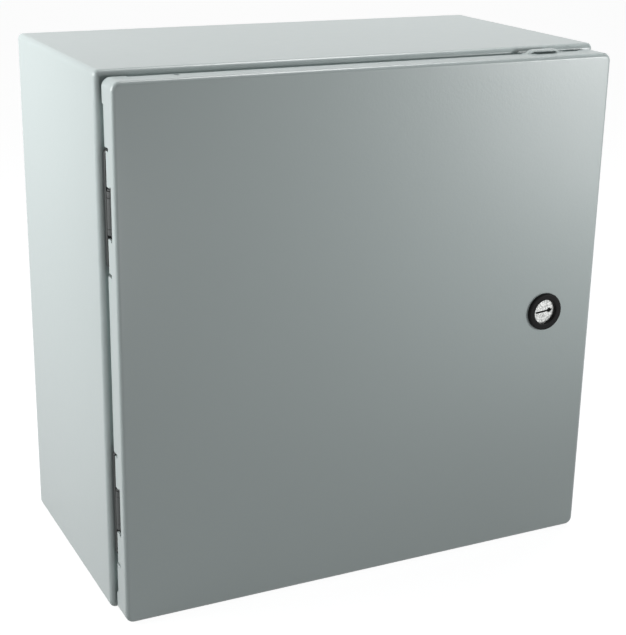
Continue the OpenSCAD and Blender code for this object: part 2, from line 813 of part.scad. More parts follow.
module cam_washer() {
    color(zinc) at_lock(cam_back_z - cam_washer_t)
        tube(cam_washer_d, cam_screw_d + 2 * hole_play, cam_washer_t);
}

module cam_screw() {
    head_t = 0.7 * cam_screw_d;
    seat_z = cam_back_z - cam_washer_t;
    color(zinc) at_lock(0) {
        translate([0, 0, seat_z - head_t]) linear_extrude(head_t) hexagon(1.667 * cam_screw_d);
        translate([0, 0, seat_z]) cylinder(d = cam_screw_d, h = cam_screw_grip + cam_washer_t - eps);
    }
}

stand() cabinet_shell();
stand() mounting_panel();
stand() panel_studs();
stand() panel_spacers();
stand() panel_washers();
stand() panel_nuts();
stand() gland_plate();
stand() gland_gasket();
stand() gland_studs();
stand() gland_washers();
stand() gland_nuts();
stand() earth_stud();
stand() earth_washer();
stand() earth_nut();
stand() hinge_leaf(hinge_y + hinge_off);  // upper_hinge_leaf
stand() hinge_leaf(hinge_y - hinge_off);  // lower_hinge_leaf
stand() hinge_pin(hinge_y + hinge_off);  // upper_hinge_pin
stand() hinge_pin(hinge_y - hinge_off);  // lower_hinge_pin
stand() hinge_screws();
stand() door_panel();
stand() door_gasket();
stand() hinge_bracket(hinge_y + hinge_off);  // upper_hinge_bracket
stand() hinge_bracket(hinge_y - hinge_off);  // lower_hinge_bracket
stand() lock_housing();
stand() lock_seal();
stand() lock_nut();
stand() door_earth_stud();
stand() door_earth_washer();
stand() door_earth_nut();
stand() lock_spindle();
stand() lock_cam();
stand() cam_washer();
stand() cam_screw();
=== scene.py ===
import math

import bmesh
import bpy
from mathutils import Matrix, Vector


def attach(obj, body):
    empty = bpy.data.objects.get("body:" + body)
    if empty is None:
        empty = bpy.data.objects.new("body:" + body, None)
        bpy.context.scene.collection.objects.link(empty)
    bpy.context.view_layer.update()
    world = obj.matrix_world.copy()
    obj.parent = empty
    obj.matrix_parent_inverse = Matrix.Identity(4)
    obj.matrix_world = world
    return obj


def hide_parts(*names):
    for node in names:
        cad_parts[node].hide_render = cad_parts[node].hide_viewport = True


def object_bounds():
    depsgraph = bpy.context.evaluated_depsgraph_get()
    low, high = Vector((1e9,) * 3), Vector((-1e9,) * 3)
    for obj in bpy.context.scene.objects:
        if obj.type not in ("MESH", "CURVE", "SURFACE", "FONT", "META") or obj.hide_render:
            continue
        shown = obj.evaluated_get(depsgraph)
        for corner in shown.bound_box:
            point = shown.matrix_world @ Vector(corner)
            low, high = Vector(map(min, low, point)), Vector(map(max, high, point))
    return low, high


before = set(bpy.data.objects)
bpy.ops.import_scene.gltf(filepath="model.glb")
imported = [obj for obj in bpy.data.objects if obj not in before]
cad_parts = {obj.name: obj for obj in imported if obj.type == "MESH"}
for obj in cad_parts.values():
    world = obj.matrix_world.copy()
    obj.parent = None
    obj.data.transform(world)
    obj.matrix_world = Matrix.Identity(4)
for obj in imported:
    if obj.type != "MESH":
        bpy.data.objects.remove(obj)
cad_low, cad_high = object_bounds()

# Sizes of the enclosure in millimetres, as its drawing has them
SHEET = 1.5
CABINET_W = 380.0
CABINET_H = 380.0
CABINET_D = 184.0
EDGE_R = 4.0
REAR_R = 2.5
RIM_W = 24.0
LIP_BEND_R = 3.0
LIP_CORNER_R = 8.0
LIP_TIP = 202.2
WALL_HOLE_INSET = 30.0
WALL_HOLE_D = 8.5
DOOR_W = 374.5
DOOR_H = 375.5
DOOR_MID = -1.25
DOOR_BACK = 190.0
DOOR_FRONT = 210.0
DOOR_CORNER_R = 6.0
DOOR_BEND_R = 3.0
RETURN_W = 10.0
RETURN_CUT = 4.5
CORNER_RUN = 10.0
GASKET_W = 10.0
GASKET_H = 6.0
GASKET_CORNER_R = 12.25
GASKET_ROUND = 4.5
FOAM_SWELL = 0.3
FOAM_SWELL_L = 14.0
HANGING_INSET = 47.5
HANGING_DEPTH = 6.0
HANGING_HOLE_D = 4.0
SLOT_L = 17.5
SLOT_W = 4.0
BRIDGE_L = 28.0
BRIDGE_RISE = 2.5
BRIDGE_FOOT = 3.0
BRIDGE_RAMP = 4.0
BRIDGE_BEND_R = 1.2
HINGE_OFF = 104.25
HINGE_DROP = 1.8
HINGE_ZONE = 85.0
NOTCH_L = 34.0
NOTCH_D = 12.5
NICK_R = 1.2
RELIEF_W = 2.5
RELIEF_D = 9.5
LEAF_X = -177.5
LEAF_SCREW_PITCH = 56.0
LEAF_SCREW_HOLE = 5.5
LOCK_X = 144.25
LOCK_Z = -3.35
LOCK_HOLE = 22.5
LOCK_HOLE_FLATS = 20.5
GLAND_W = 220.0
GLAND_D = 80.0
GLAND_MID = 100.0
GLAND_CORNER_R = 6.0
GLAND_SEAT = 18.0
GLAND_GASKET_T = 2.0
GLAND_PLATE_T = 2.0
RING_D = 28.5
RING_H = 2.6
RING_ROUND = 1.4
RING_BEVEL = 1.3
BARREL_D = 22.0
BARREL_FLATS = 20.0
BARREL_PITCH = 1.5
BARREL_BACK = 182.4
SEAL_D = 26.5
SEAL_T = 1.0
HEAD_D = 18.0
HEAD_SUNK = 2.6
HEAD_H = 5.0
HEAD_PLAY = 0.2
SHANK_D = 12.0
SQUARE_W = 8.0
CAM_FRONT = 181.9
CAM_T = 3.0
KEY_SLOT_L = 14.0
KEY_SLOT_W = 1.4
KEY_SLOT_D = 2.5
KEY_SLOT_TILT = 6.0
KEY_POCKET_D = 3.6
KEY_POCKET_X = 4.5
PANEL_STUD_X = 145.0
PANEL_STUD_Z = 118.0
PANEL_STUD_END = 34.0
PANEL_FACE = 23.5
PANEL_WASHER_T = 1.6
PANEL_NUT_H = 6.4
GLAND_STUD_OVER = 7.0
GLAND_STUD_HOLE = 5.5
GLAND_WASHER_T = 1.0
GLAND_NUT_H = 4.0
EARTH_X = 146.0
EARTH_Y = -60.0
EARTH_STUD_L = 17.0
EARTH_WASHER_T = 1.6
EARTH_NUT_H = 4.8
DOOR_EARTH_INSET = 36.0
HINGE_SCREW_SEAT = 182.5
HINGE_SCREW_HEAD = 3.5
LOCK_NUT_H = 6.0
CAM_WASHER_T = 1.6
CAM_SCREW_HEAD = 4.2
CAM_SCREW_HOLE = 6.1
CAM_SCREW_HOLE_L = 9.0
SCREW_REACH = {"hinge_screws": 5, "cam_screw": 12}
SCREW_PITCH = 0.9
SHANK_SUNK = 1.0

# Shares: a thread's cut on the diameter in pitches, a hexagon's turning and its chamfer in widths
THREAD_CUT = 1.08
HEXAGON_TURNING = 1.16
HEXAGON_CHAMFER = 0.11

MM = 0.001
HINGE_MID = DOOR_MID - HINGE_DROP
DOOR_INNER = DOOR_FRONT - SHEET
BASE = -CABINET_H / 2 + SHEET


# Modelling by hand: every operator acts on what is selected, so each step starts from nothing selected
def hold(piece):
    bpy.ops.object.select_all(action="DESELECT")
    piece.select_set(True)
    bpy.context.view_layer.objects.active = piece


def add_block(name, low, high):
    """A block between two corners in millimetres."""
    bpy.ops.object.select_all(action="DESELECT")
    low, high = Vector(low) * MM, Vector(high) * MM
    bpy.ops.mesh.primitive_cube_add(size=1, location=(low + high) / 2, scale=high - low)
    piece = bpy.context.object
    piece.name = name
    piece.data.name = name
    bpy.ops.object.transform_apply(location=True, rotation=True, scale=True)
    return piece


def add_rod(name, middle, axis, diameter, length, sides=48):
    """A round rod about a middle in millimetres, along x, y or z."""
    bpy.ops.object.select_all(action="DESELECT")
    turn = {"x": (0, math.pi / 2, 0), "y": (math.pi / 2, 0, 0), "z": (0, 0, 0)}[axis]
    bpy.ops.mesh.primitive_cylinder_add(
        vertices=sides, radius=diameter / 2 * MM, depth=length * MM,
        location=Vector(middle) * MM, rotation=turn,
    )
    piece = bpy.context.object
    piece.name = name
    piece.data.name = name
    bpy.ops.object.transform_apply(location=True, rotation=True, scale=True)
    return piece


def add_plate(name, low, high, axis, corner_r):
    """A block with round corners along one axis."""
    plate = add_block(name, low, high)
    open_mesh(plate)
    along = "xyz".index(axis)
    pick_edges(plate, lambda a, b, e: not near(a[along], b[along]))
    round_edges(corner_r, 8)
    close_mesh()
    return plate


def add_stud(name, middle, axis, diameter, length, pitch, sides=24):
    """A rod whose rings of crest and root stand for a fine thread."""
    stud = add_rod(name, middle, axis, diameter, length, sides)
    along = "xyz".index(axis)
    foot = middle[along] - length / 2
    step = length / (2 * round(length / pitch))
    open_mesh(stud)
    pick_edges(stud, lambda a, b, e: not near(a[along], b[along]))
    bpy.ops.mesh.subdivide(number_cuts=round(length / step) - 1)
    pick_edges(stud, lambda a, b, e: near(a[along], b[along]) and round((a[along] - foot) / step) % 2 == 1)
    root = 1 - THREAD_CUT * pitch / diameter
    shrink = [1 if i == along else root for i in range(3)]
    bpy.ops.transform.resize(value=shrink, center_override=Vector(middle) * MM)
    close_mesh()
    return stud


def add_hexagon(name, middle, axis, across, length):
    """A hexagon whose corners are turned off at both ends."""
    head = add_rod(name, middle, axis, across / math.cos(math.pi / 6), length, 6)
    turned = add_rod("turned", middle, axis, HEXAGON_TURNING * across, length, 48)
    along = "xyz".index(axis)
    open_mesh(turned)
    pick_edges(turned, lambda a, b, e: near(a[along], b[along]))
    round_edges(HEXAGON_CHAMFER * across, 1)
    close_mesh()
    combine(head, turned, "INTERSECT")
    return head


def repeat(piece, places):
    """Copies a piece from the first of its places to the others, each copy with its own mesh."""
    group = [piece]
    for place in places[1:]:
        copy = piece.copy()
        copy.data = piece.data.copy()
        copy.data.transform(Matrix.Translation((Vector(place) - Vector(places[0])) * MM))
        bpy.context.scene.collection.objects.link(copy)
        group.append(copy)
    return join(group)


def open_mesh(piece):
    hold(piece)
    bpy.ops.object.mode_set(mode="EDIT")


def close_mesh():
    bpy.ops.object.mode_set(mode="OBJECT")


def pick_edges(piece, test):
    """Selects the edges whose two ends, in millimetres, pass the test."""
    bpy.ops.mesh.select_mode(type="EDGE")
    bpy.ops.mesh.select_all(action="DESELECT")
    shape = bmesh.from_edit_mesh(piece.data)
    for edge in [e for e in shape.edges if test(e.verts[0].co / MM, e.verts[1].co / MM, e)]:
        edge.select_set(True)
    bmesh.update_edit_mesh(piece.data)


def pick_faces(piece, test):
    """Selects the faces whose middle, in millimetres, and normal pass the test."""
    bpy.ops.mesh.select_mode(type="FACE")
    bpy.ops.mesh.select_all(action="DESELECT")
    shape = bmesh.from_edit_mesh(piece.data)
    for face in [f for f in shape.faces if test(f.calc_center_median() / MM, f.normal)]:
        face.select_set(True)
    bmesh.update_edit_mesh(piece.data)


def near(a, b):
    return abs(a - b) < 0.01


def both_at(a, b, axis, place):
    return near(a[axis], place) and near(b[axis], place)


def round_edges(radius, segments):
    bpy.ops.mesh.bevel(
        offset=radius * MM, offset_type="OFFSET", segments=segments, profile=0.5,
        affect="EDGES", clamp_overlap=False,
    )


def use_modifier(piece, kind, **settings):
    """Adds a modifier and applies it."""
    hold(piece)
    modifier = piece.modifiers.new(kind.lower(), kind)
    for name, value in settings.items():
        setattr(modifier, name, value)
    bpy.ops.object.modifier_apply(modifier=modifier.name)


def join(pieces):
    hold(pieces[0])
    for piece in pieces[1:]:
        piece.select_set(True)
    if len(pieces) > 1:
        bpy.ops.object.join()
    return pieces[0]


def combine(piece, other, operation):
    use_modifier(piece, "BOOLEAN", operation=operation, object=other, solver="EXACT", use_self=True)
    bpy.data.objects.remove(other)


def cut(piece, cutters):
    """Takes the cutters out of a piece."""
    combine(piece, join(cutters), "DIFFERENCE")


def cut_flats(piece, middle, across):
    """Cuts two flats, an across apart along x, on the sides of a round piece."""
    open_mesh(piece)
    for s in (-1, 1):
        bpy.ops.mesh.select_all(action="SELECT")
        bpy.ops.mesh.bisect(plane_co=((middle + s * across / 2) * MM, 0, 0), plane_no=(s, 0, 0),
                            clear_outer=True, use_fill=True)
    close_mesh()


def break_edges(piece, edge=0.18):
    """Breaks the sharp edges of a piece and smooths its bends."""
    use_modifier(
        piece, "BEVEL", width=edge * MM, segments=2, limit_method="ANGLE", angle_limit=math.radians(50),
        use_clamp_overlap=True, harden_normals=False,
    )
    hold(piece)
    bpy.ops.object.shade_smooth_by_angle(angle=math.radians(40))
    use_modifier(piece, "WEIGHTED_NORMAL", keep_sharp=True, weight=60)


# Materials
def linear(code):
    """Linear colour of an sRGB hex value."""
    parts = [int(code[i:i + 2], 16) / 255 for i in (1, 3, 5)]
    return (*[c / 12.92 if c <= 0.04045 else ((c + 0.055) / 1.055) ** 2.4 for c in parts], 1)


def add_node(material, kind, inputs, **settings):
    """Adds a node with its settings; an input is a value or the socket that feeds it."""
    node = material.node_tree.nodes.new(kind)
    for name, value in settings.items():
        setattr(node, name, value)
    for name, value in inputs.items():
        if isinstance(value, bpy.types.NodeSocket):
            material.node_tree.links.new(value, node.inputs[name])
        else:
            node.inputs[name].default_value = value
    return node


def per_mm(size):
    """Texture scale on Object coordinates that gives features of a size in millimetres."""
    return 1 / (size * MM)


def start_material(name):
    material = bpy.data.materials.new(name)
    material.use_nodes = True
    nodes = material.node_tree.nodes
    where = add_node(material, "ShaderNodeTexCoord", {})
    return material, nodes["Principled BSDF"].inputs, where.outputs["Object"]


def link(material, socket, target):
    material.node_tree.links.new(socket, target)


# Sockets of a colour Mix node, which shares their names with its other kinds
COLOUR_A = 6
COLOUR_B = 7
COLOUR_OUT = 2


# Polyester powder coat on steel, sprayed and baked: light grey, satin, with a fine orange peel
def powder_coat():
    material, shader, where = start_material("powder_coated_steel")
    drift = add_node(material, "ShaderNodeTexNoise", {"Vector": where, "Scale": per_mm(160), "Detail": 2.0})
    tint = add_node(material, "ShaderNodeMix", {"Factor": drift.outputs["Fac"]}, data_type="RGBA")
    tint.inputs[COLOUR_A].default_value = linear("#c2cecd")
    tint.inputs[COLOUR_B].default_value = linear("#c6d2d1")
    link(material, tint.outputs[COLOUR_OUT], shader["Base Color"])
    fine = add_node(material, "ShaderNodeTexNoise", {"Vector": where, "Scale": per_mm(9), "Detail": 3.0})
    satin = add_node(material, "ShaderNodeMapRange",
                     {"Value": fine.outputs["Fac"], "To Min": 0.27, "To Max": 0.33})
    link(material, satin.outputs["Result"], shader["Roughness"])
    # orange peel is about 1.8 mm from crest to crest
    peel = add_node(material, "ShaderNodeTexNoise", {"Vector": where, "Scale": per_mm(1.8), "Detail": 2.0})
    bump = add_node(material, "ShaderNodeBump",
                    {"Height": peel.outputs["Fac"], "Strength": 0.3, "Distance": 0.15 * MM})
    link(material, bump.outputs["Normal"], shader["Normal"])
    shader["IOR"].default_value = 1.58
    return material


# Galvanised sheet: dull zinc with crystal spangle
def galvanised():
    material, shader, where = start_material("galvanised_sheet")
    spangle = add_node(material, "ShaderNodeTexVoronoi", {"Vector": where, "Scale": per_mm(11)})
    tint = add_node(material, "ShaderNodeMix", {"Factor": spangle.outputs["Color"]}, data_type="RGBA")
    tint.inputs[COLOUR_A].default_value = linear("#a7abad")
    tint.inputs[COLOUR_B].default_value = linear("#b9bdbf")
    link(material, tint.outputs[COLOUR_OUT], shader["Base Color"])
    dull = add_node(material, "ShaderNodeMapRange",
                    {"Value": spangle.outputs["Color"], "To Min": 0.36, "To Max": 0.5})
    link(material, dull.outputs["Result"], shader["Roughness"])
    shader["Metallic"].default_value = 1.0
    return material


# Bright zinc plating on steel fasteners: smooth, faintly blue, slightly uneven
def zinc_plate():
    material, shader, where = start_material("zinc_plated_steel")
    patch = add_node(material, "ShaderNodeTexNoise", {"Vector": where, "Scale": per_mm(3), "Detail": 3.0})
    tint = add_node(material, "ShaderNodeMix", {"Factor": patch.outputs["Fac"]}, data_type="RGBA")
    tint.inputs[COLOUR_A].default_value = linear("#b4b8bc")
    tint.inputs[COLOUR_B].default_value = linear("#cfd2d5")
    link(material, tint.outputs[COLOUR_OUT], shader["Base Color"])
    gloss = add_node(material, "ShaderNodeMapRange",
                     {"Value": patch.outputs["Fac"], "To Min": 0.24, "To Max": 0.4})
    link(material, gloss.outputs["Result"], shader["Roughness"])
    shader["Metallic"].default_value = 1.0
    return material


# Die-cast zinc: dark grey metal with the grain of the mould, drawn coarser than it is so that it shows
def die_cast():
    material, shader, where = start_material("die_cast_zinc")
    grain = add_node(material, "ShaderNodeTexNoise", {"Vector": where, "Scale": per_mm(0.9), "Detail": 4.0})
    tint = add_node(material, "ShaderNodeMix", {"Factor": grain.outputs["Fac"]}, data_type="RGBA")
    tint.inputs[COLOUR_A].default_value = linear("#424444")
    tint.inputs[COLOUR_B].default_value = linear("#5e6060")
    link(material, tint.outputs[COLOUR_OUT], shader["Base Color"])
    bump = add_node(material, "ShaderNodeBump",
                    {"Height": grain.outputs["Fac"], "Strength": 0.35, "Distance": 0.2 * MM})
    link(material, bump.outputs["Normal"], shader["Normal"])
    shader["Metallic"].default_value = 1.0
    shader["Roughness"].default_value = 0.6
    return material


# Nickel on die-cast zinc: bright grey with the sparkle of a blasted face, drawn coarse enough to show
def nickel_plate():
    material, shader, where = start_material("nickel_plated_zinc")
    grain = add_node(material, "ShaderNodeTexNoise", {"Vector": where, "Scale": per_mm(0.8), "Detail": 4.0})
    contrast = add_node(material, "ShaderNodeMapRange",
                        {"Value": grain.outputs["Fac"], "From Min": 0.35, "From Max": 0.65})
    tint = add_node(material, "ShaderNodeMix", {"Factor": contrast.outputs["Result"]}, data_type="RGBA")
    tint.inputs[COLOUR_A].default_value = linear("#8b8d8c")
    tint.inputs[COLOUR_B].default_value = linear("#dcdddb")
    link(material, tint.outputs[COLOUR_OUT], shader["Base Color"])
    bump = add_node(material, "ShaderNodeBump",
                    {"Height": grain.outputs["Fac"], "Strength": 0.3, "Distance": 0.1 * MM})
    link(material, bump.outputs["Normal"], shader["Normal"])
    shader["Metallic"].default_value = 1.0
    shader["Roughness"].default_value = 0.3
    return material


# Glass-filled polyamide, moulded: near black, with a spark-eroded grain, drawn coarse enough to show
def black_polyamide():
    material, shader, where = start_material("black_polyamide")
    grain = add_node(material, "ShaderNodeTexNoise", {"Vector": where, "Scale": per_mm(0.7), "Detail": 3.0})
    tint = add_node(material, "ShaderNodeMix", {"Factor": grain.outputs["Fac"]}, data_type="RGBA")
    tint.inputs[COLOUR_A].default_value = linear("#040405")
    tint.inputs[COLOUR_B].default_value = linear("#0a0a0b")
    link(material, tint.outputs[COLOUR_OUT], shader["Base Color"])
    bump = add_node(material, "ShaderNodeBump",
                    {"Height": grain.outputs["Fac"], "Strength": 0.3, "Distance": 0.15 * MM})
    link(material, bump.outputs["Normal"], shader["Normal"])
    shader["Roughness"].default_value = 0.5
    shader["IOR"].default_value = 1.53
    shader["Specular IOR Level"].default_value = 0.12
    return material


# Polyurethane foamed in place: dark grey skin with open pores
def seal_foam():
    material, shader, where = start_material("polyurethane_foam")
    pores = add_node(material, "ShaderNodeTexVoronoi", {"Vector": where, "Scale": per_mm(0.9)})
    tint = add_node(material, "ShaderNodeMix", {"Factor": pores.outputs["Distance"]}, data_type="RGBA")
    tint.inputs[COLOUR_A].default_value = linear("#262728")
    tint.inputs[COLOUR_B].default_value = linear("#3b3c3d")
    link(material, tint.outputs[COLOUR_OUT], shader["Base Color"])
    bump = add_node(material, "ShaderNodeBump",
                    {"Height": pores.outputs["Distance"], "Strength": 0.5, "Distance": 0.3 * MM})
    link(material, bump.outputs["Normal"], shader["Normal"])
    shader["Roughness"].default_value = 0.85
    return material


def paint_with(piece, material):
    piece.data.materials.clear()
    piece.data.materials.append(material)


def dress(piece, body, node, slot, finish=None):
    """Sets a finished piece in place of its CAD node."""
    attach(piece, body)
    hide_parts(node)
    paint_with(piece, finishes[finish or slot])


finishes = {
    "grey_paint": powder_coat(),
    "galvanised": galvanised(),
    "zinc_plate": zinc_plate(),
    "die_cast": die_cast(),
    "nickel_plate": nickel_plate(),
    "black_polyamide": black_polyamide(),
    "seal_foam": seal_foam(),
}


# Cabinet: a box with rounded edges, its front opened into a rim and a forward sealing lip
def cabinet_shell():
    half_w, half_h = CABINET_W / 2, CABINET_H / 2
    box = add_block("cabinet_shell_folded", (-half_w, -CABINET_D, -half_h), (half_w, 0, half_h))
    open_mesh(box)
    pick_edges(box, lambda a, b, e: not both_at(a, b, 1, 0))
    round_edges(EDGE_R, 8)
    pick_faces(box, lambda m, n: near(m.y, 0) and n.y > 0.9)
    bpy.ops.mesh.region_to_loop()
    round_edges(REAR_R, 6)
    pick_faces(box, lambda m, n: near(m.y, -CABINET_D) and n.y < -0.9)
    bpy.ops.mesh.delete(type="FACE")
    close_mesh()

    lip_w, lip_h = half_w - RIM_W, half_h - RIM_W
    lip = add_block("sealing_lip", (-lip_w, -LIP_TIP, -lip_h), (lip_w, -CABINET_D, lip_h))
    open_mesh(lip)
    pick_edges(lip, lambda a, b, e: near(a.x, b.x) and near(a.z, b.z))
    round_edges(LIP_CORNER_R, 8)
    pick_faces(lip, lambda m, n: abs(n.y) > 0.9)
    bpy.ops.mesh.delete(type="ONLY_FACE")
    pick_edges(lip, lambda a, b, e: both_at(a, b, 1, -CABINET_D))
    spread = (lip_w + 2.5 * LIP_BEND_R) / lip_w
    bpy.ops.mesh.extrude_edges_move()
    bpy.ops.transform.resize(value=(spread, 1, spread), center_override=(0, -CABINET_D * MM, 0))
    pick_edges(lip, lambda a, b, e: both_at(a, b, 1, -CABINET_D) and len(e.link_faces) == 2
               and abs(e.link_faces[0].normal.y - e.link_faces[1].normal.y) > 0.5)
    round_edges(LIP_BEND_R, 6)
    close_mesh()

    join([box, lip])
    open_mesh(box)
    pick_edges(box, lambda a, b, e: both_at(a, b, 1, -CABINET_D) and e.is_boundary)
    bpy.ops.mesh.bridge_edge_loops()
    bpy.ops.mesh.select_all(action="SELECT")
    bpy.ops.mesh.remove_doubles(threshold=0.001 * MM)
    bpy.ops.mesh.normals_make_consistent(inside=False)
    close_mesh()
    use_modifier(box, "SOLIDIFY", thickness=SHEET * MM, offset=-1, use_even_offset=True)

    holes = []
    for sx in (-1, 1):
        for sz in (-1, 1):
            place = (sx * (half_w - WALL_HOLE_INSET), 0, sz * (half_h - WALL_HOLE_INSET))
            holes.append(add_rod("wall_hole", place, "y", WALL_HOLE_D, 6))
            place = (LEAF_X, -CABINET_D, HINGE_MID + sx * HINGE_OFF + sz * LEAF_SCREW_PITCH / 2)
            holes.append(add_rod("leaf_hole", place, "y", LEAF_SCREW_HOLE, 6))
    cut(box, [*holes, cable_entry()])
    break_edges(box)
    dress(box, "cabinet", "cabinet_shell", "grey_paint")


# Door: a folded pan; its rear edge turns in except at the corners and beside the hinges
def door_panel():
    half_w, half_h = DOOR_W / 2, DOOR_H / 2
    cut_back = -(DOOR_BACK + RETURN_CUT)
    top, low = DOOR_MID + half_h, DOOR_MID - half_h
    pan = add_block("door_panel_folded", (-half_w, -DOOR_FRONT, low), (half_w, cut_back, top))
    open_mesh(pan)
    pick_edges(pan, lambda a, b, e: near(a.x, b.x) and near(a.z, b.z))
    round_edges(DOOR_CORNER_R, 12)
    pick_faces(pan, lambda m, n: n.y > 0.9)
    bpy.ops.mesh.delete(type="ONLY_FACE")
    pick_faces(pan, lambda m, n: n.y < -0.9)
    bpy.ops.mesh.region_to_loop()
    round_edges(DOOR_BEND_R, 8)

    end_x = half_w - DOOR_CORNER_R - CORNER_RUN
    end_z = half_h - DOOR_CORNER_R - CORNER_RUN
    bridge_x = half_w - HANGING_INSET
    bridge_end = BRIDGE_L / 2 + BRIDGE_FOOT
    zones = [(s * HINGE_OFF - HINGE_DROP - HINGE_ZONE / 2, s * HINGE_OFF - HINGE_DROP + HINGE_ZONE / 2)
             for s in (-1, 1)]
    stops_x = [-end_x, end_x, bridge_x - bridge_end, bridge_x + bridge_end]
    stops_z = [-end_z, *zones[0], *zones[1], end_z]
    for stop in stops_x:
        pick_faces(pan, lambda m, n: abs(n.x) < 0.1 and abs(n.z) > 0.01)
        bpy.ops.mesh.bisect(plane_co=(stop * MM, 0, 0), plane_no=(1, 0, 0))
    for stop in stops_z:
        pick_faces(pan, lambda m, n: abs(n.z) < 0.1 and abs(n.x) > 0.01)
        bpy.ops.mesh.bisect(plane_co=(0, 0, (DOOR_MID + stop) * MM), plane_no=(0, 0, 1))

    # the four sides: along x or z, where they stand, and the stretches that turn in
    sides = [
        (2, half_w, (-1, 0, 0), [(-end_z, end_z)]),
        (2, -half_w, (1, 0, 0), list(zip(stops_z[0::2], stops_z[1::2]))),
        (0, top, (0, 0, -1), [(-end_x, bridge_x - bridge_end), (bridge_x + bridge_end, end_x)]),
        (0, low, (0, 0, 1), [(-end_x, end_x)]),
    ]
    arc_steps = 5
    for along, place, inward, stretches in sides:
        across = 2 - along
        shift = DOOR_MID if along == 2 else 0

        def turns_in(a, b, e):
            at_rear = both_at(a, b, 1, cut_back) and both_at(a, b, across, place)
            middle = (a[along] + b[along]) / 2 - shift
            return at_rear and any(lo - 0.01 < middle < hi + 0.01 for lo, hi in stretches)

        pick_edges(pan, turns_in)
        moves = [(0, RETURN_CUT - DOOR_BEND_R)]
        for k in range(arc_steps):
            a0, a1 = (math.pi / 2 * (k + i) / arc_steps for i in (0, 1))
            inwards, back = math.cos(a0) - math.cos(a1), math.sin(a1) - math.sin(a0)
            moves.append((DOOR_BEND_R * inwards, DOOR_BEND_R * back))
        moves.append((RETURN_W - DOOR_BEND_R, 0))
        for inwards, back in moves:
            step = Vector(inward) * inwards + Vector((0, back, 0))
            bpy.ops.mesh.extrude_edges_move(TRANSFORM_OT_translate={"value": step * MM})

    def plain_corner(a, b, e):
        if not both_at(a, b, 1, cut_back):
            return False
        x, z = abs(a.x + b.x) / 2, abs(a.z + b.z - 2 * DOOR_MID) / 2
        return x > end_x - 0.01 and z > end_z - 0.01

    pick_edges(pan, plain_corner)
    bpy.ops.mesh.extrude_edges_move(TRANSFORM_OT_translate={"value": (0, RETURN_CUT * MM, 0)})
    bpy.ops.mesh.select_all(action="SELECT")
    bpy.ops.mesh.normals_make_consistent(inside=False)
    close_mesh()
    use_modifier(pan, "SOLIDIFY", thickness=SHEET * MM, offset=-1, use_even_offset=True)

    holes = []
    for s in (-1, 1):
        mid = HINGE_MID + s * HINGE_OFF
        out_x, in_x = -half_w - 1, -half_w + SHEET + 0.5
        holes.append(add_block("deep_notch", (out_x, -DOOR_BACK - NOTCH_D, mid - NOTCH_L / 2),
                               (in_x, -DOOR_BACK + 1, mid + NOTCH_L / 2)))
        for t in (-1, 1):
            slit = mid + t * (HINGE_ZONE - RELIEF_W) / 2
            holes.append(add_block("relief_slit", (out_x, -DOOR_BACK - RELIEF_D, slit - RELIEF_W / 2),
                                   (in_x, -DOOR_BACK + 1, slit + RELIEF_W / 2)))
            place = ((out_x + in_x) / 2, -DOOR_BACK - NOTCH_D + NICK_R, mid + t * NOTCH_L / 2)
            holes.append(add_rod("nick", place, "x", 2 * NICK_R, in_x - out_x, 24))
    place = (-half_w + HANGING_INSET, -DOOR_BACK - HANGING_DEPTH, top)
    holes.append(add_rod("hanging_hole", place, "z", HANGING_HOLE_D, 6))
    slot_y = -DOOR_BACK - HANGING_DEPTH
    holes.append(add_block("hanging_slot", (bridge_x - SLOT_L / 2, slot_y - SLOT_W / 2, top - 3),
                           (bridge_x + SLOT_L / 2, slot_y + SLOT_W / 2, top + 3)))
    barrel = add_rod("barrel_hole", (LOCK_X, -DOOR_FRONT, LOCK_Z), "y", LOCK_HOLE, 6, 64)
    cut_flats(barrel, LOCK_X, LOCK_HOLE_FLATS)
    cut(pan, [*holes, barrel])
    join([pan, slot_bridge(bridge_x, top)])
    break_edges(pan)
    dress(pan, "door", "door_panel", "grey_paint")


# Strip of the door's top flange behind the hanging slot, pressed up in the middle
def slot_bridge(x, top):
    half = BRIDGE_L / 2
    strip = HANGING_DEPTH - SLOT_W / 2
    bpy.ops.object.select_all(action="DESELECT")
    bpy.ops.mesh.primitive_plane_add(size=1, location=(x * MM, -(DOOR_BACK + strip / 2) * MM, top * MM))
    bridge = bpy.context.object
    bridge.scale = ((BRIDGE_L + 2 * BRIDGE_FOOT) * MM, strip * MM, 1)
    bpy.ops.object.transform_apply(location=True, rotation=True, scale=True)
    open_mesh(bridge)
    for place in (-half, -half + BRIDGE_RAMP, half - BRIDGE_RAMP, half):
        bpy.ops.mesh.select_all(action="SELECT")
        bpy.ops.mesh.bisect(plane_co=((x + place) * MM, 0, 0), plane_no=(1, 0, 0))
    raised = half - BRIDGE_RAMP + 0.01
    pick_edges(bridge, lambda a, b, e: abs(a.x - x) < raised and abs(b.x - x) < raised)
    bpy.ops.transform.translate(value=(0, 0, BRIDGE_RISE * MM))
    pick_edges(bridge, lambda a, b, e: near(a.x, b.x) and abs(a.x - x) < half + 0.01)
    round_edges(BRIDGE_BEND_R, 4)
    close_mesh()
    use_modifier(bridge, "SOLIDIFY", thickness=SHEET * MM, offset=-1, use_even_offset=True)
    feet = []
    for s in (-1, 1):
        mid = x + s * (half + BRIDGE_FOOT / 2)
        feet.append(add_block("bridge_foot", (mid - BRIDGE_FOOT / 2, -DOOR_BACK - RETURN_CUT, top - SHEET),
                              (mid + BRIDGE_FOOT / 2, -DOOR_BACK - strip, top)))
    return join([bridge, *feet])


# The opening in the base for cables
def cable_entry():
    half_w, half_d = GLAND_W / 2, GLAND_D / 2
    low, high = (-half_w, -GLAND_MID - half_d, BASE - 5), (half_w, -GLAND_MID + half_d, BASE + 5)
    return add_plate("cable_entry", low, high, "z", GLAND_CORNER_R)


